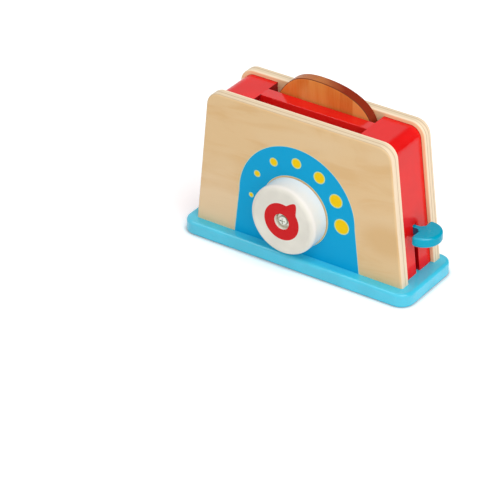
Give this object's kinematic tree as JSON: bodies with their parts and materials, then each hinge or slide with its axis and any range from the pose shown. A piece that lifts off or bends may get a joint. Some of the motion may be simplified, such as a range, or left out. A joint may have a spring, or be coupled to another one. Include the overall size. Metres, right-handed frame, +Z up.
{
  "type": "toy toaster",
  "caption": "Wooden toy toaster with plywood sides, a painted core with bread slots, a see-saw lever that raises the bread, a turning dial and a lift-out toast slice.",
  "frame": {"origin": "centre of the flat underside of the base board", "axes": "+Z up, +X along the base board towards the lever, -Y out through the dial"},
  "size_m": [0.2471, 0.0917, 0.1645],
  "materials": {
    "blue_paint": "light blue gloss paint on wood",
    "plywood": "clear lacquered light plywood, printed dial scale on the front panel",
    "red_paint": "red gloss paint on wood",
    "plain_wood": "bare sanded wood",
    "toast_wood": "stained wood with a dark painted crust",
    "white_paint": "white gloss paint on wood, red ring pointer on the face",
    "fibre": "tan fibre washer",
    "steel": "zinc plated steel"
  },
  "bodies": {
    "housing": {"base_board": "blue_paint", "front_panel": "plywood", "rear_panel": "plywood", "left_core_block": "red_paint", "right_core_block": "red_paint", "centre_divider": "red_paint", "front_stop_left": "red_paint", "front_stop_right": "red_paint", "rear_stop_left": "red_paint", "rear_stop_right": "red_paint", "front_panel_dowels": "plain_wood", "rear_panel_dowels": "plain_wood", "divider_dowels": "plain_wood", "base_screws": "steel", "pivot_pin": "steel", "dial_spacer": "fibre", "dial_washer": "steel", "dial_screw": "steel"},
    "lever": {"rocker_arm": "plain_wood", "lever_tab": "blue_paint"},
    "lifter": {"lifter_crossbar": "plain_wood", "front_bread_rest": "red_paint", "rear_bread_rest": "red_paint"},
    "bread": {"bread_slice": "toast_wood"},
    "knob": {"dial": "white_paint"}
  },
  "joints": [
    {"name": "lever_hinge", "type": "hinge", "parent": "housing", "child": "lever", "pos_m": [0.065, 0.0022, 0.046], "axis": [0, 1, 0], "range_deg": [0, 24]},
    {"name": "lifter_slide", "type": "slide", "parent": "housing", "child": "lifter", "axis": [0, 0, 1], "range_m": [0, 0.0286]},
    {"name": "bread_lift_out", "type": "slide", "parent": "lifter", "child": "bread", "axis": [0, 0, 1], "range_m": [0, 0.12]},
    {"name": "dial_turn", "type": "hinge", "parent": "housing", "child": "knob", "pos_m": [-0.0023, -0.0411, 0.0547], "axis": [0, -1, 0], "continuous": true}
  ],
  "couplings": [
    {"joint": "lifter_slide", "follows": "lever_hinge", "m_per_rad": 0.06824}
  ]
}
